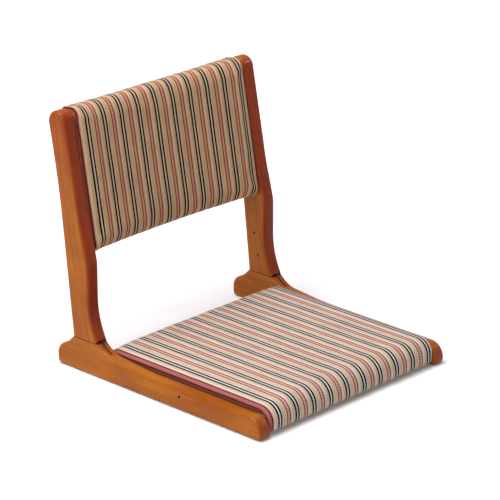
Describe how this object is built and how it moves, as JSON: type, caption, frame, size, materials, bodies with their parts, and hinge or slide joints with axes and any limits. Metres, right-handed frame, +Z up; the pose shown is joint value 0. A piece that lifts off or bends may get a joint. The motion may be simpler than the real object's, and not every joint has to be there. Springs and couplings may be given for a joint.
{
  "type": "folding floor chair",
  "caption": "Legless folding floor chair: lacquered wooden rails and leaning stiles with hidden strap hinges, a padded striped seat and a padded curved back that folds down on to it.",
  "frame": {"origin": "on the floor, under the middle of the width and depth of the whole chair as it stands open", "axes": "+Z up, the chair faces -Y, +X to the right as seen from the front"},
  "size_m": [0.43, 0.4605, 0.427],
  "materials": {
    "lacquered_wood": "glossy honey brown lacquer over straight grain",
    "bare_wood": "plain sawn softwood",
    "plywood": "unfinished plywood",
    "back_panel": "thin stained panel, satin",
    "striped_fabric": "woven cloth with fine stripes in black, red-brown, cream and tan",
    "dust_cloth": "thin black non-woven cloth",
    "hinge_steel": "plain rolled strap",
    "screw_steel": "dulled zinc plating"
  },
  "bodies": {
    "base": {"left_rail": "lacquered_wood", "right_rail": "lacquered_wood", "seat_front_bar": "bare_wood", "seat_rear_bar": "bare_wood", "seat_left_batten": "bare_wood", "seat_right_batten": "bare_wood", "seat_board": "plywood", "seat_cushion": "striped_fabric", "seat_dust_cloth": "dust_cloth", "seat_side_screws": "screw_steel", "left_rail_hinge_leaf": "hinge_steel", "right_rail_hinge_leaf": "hinge_steel", "left_hinge_rivet": "hinge_steel", "right_hinge_rivet": "hinge_steel", "rail_hinge_screws": "screw_steel"},
    "backrest": {"left_stile": "lacquered_wood", "right_stile": "lacquered_wood", "left_stile_hinge_leaf": "hinge_steel", "right_stile_hinge_leaf": "hinge_steel", "stile_hinge_screws": "screw_steel", "back_board": "plywood", "back_left_cleat": "bare_wood", "back_right_cleat": "bare_wood", "back_cushion": "striped_fabric", "back_rear_panel": "back_panel"}
  },
  "joints": [
    {"name": "fold", "type": "hinge", "parent": "base", "child": "backrest", "pos_m": [0, 0.12715, 0.052], "axis": [1, 0, 0], "range_deg": [0, 99.5]}
  ]
}
